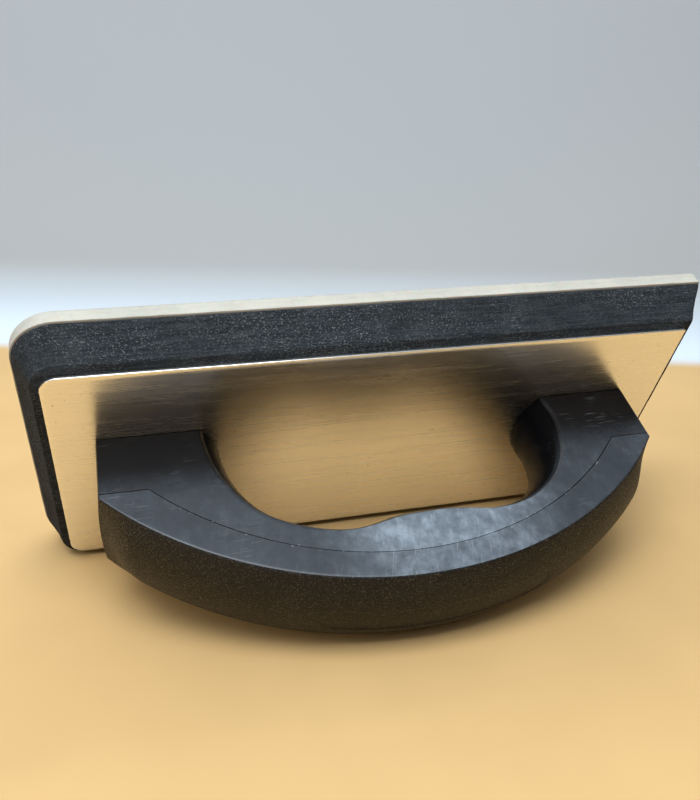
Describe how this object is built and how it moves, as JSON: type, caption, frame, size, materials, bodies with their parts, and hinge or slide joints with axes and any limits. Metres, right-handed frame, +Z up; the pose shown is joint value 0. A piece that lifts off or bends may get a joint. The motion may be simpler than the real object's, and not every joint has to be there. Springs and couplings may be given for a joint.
{
  "type": "sanding block",
  "caption": "Hand sanding block with a rubber-faced foam pad on an aluminium plate and a closed arch handle with two finger hollows.",
  "frame": {"origin": "middle of the sole's working face, which is also the bottom centre of the whole tool", "axes": "+Z up from the work towards the handle, +X along the length towards the end with the round corners, +Y to the left when seen from above with +X in front"},
  "size_m": [0.25, 0.114, 0.0954],
  "materials": {
    "pale_rubber": "matt, slightly translucent",
    "adhesive": "clear amber film",
    "charcoal_foam": "cut closed-cell foam, fine speckle",
    "brushed_aluminium": "brushed along the length",
    "body_plastic": "smooth satin moulding with pale scuffs",
    "cover_plastic": "fine spark-eroded grain on top, smooth sides",
    "screw_steel": "bright zinc plate"
  },
  "bodies": {
    "root": {"rubber_sole": "pale_rubber", "lower_adhesive_film": "adhesive", "foam_pad": "charcoal_foam", "upper_adhesive_film": "adhesive", "backing_plate": "brushed_aluminium", "handle_body": "body_plastic", "grip_cover": "cover_plastic", "handle_screw_front_left": "screw_steel", "handle_screw_front_right": "screw_steel", "handle_screw_rear_left": "screw_steel", "handle_screw_rear_right": "screw_steel"}
  },
  "joints": []
}
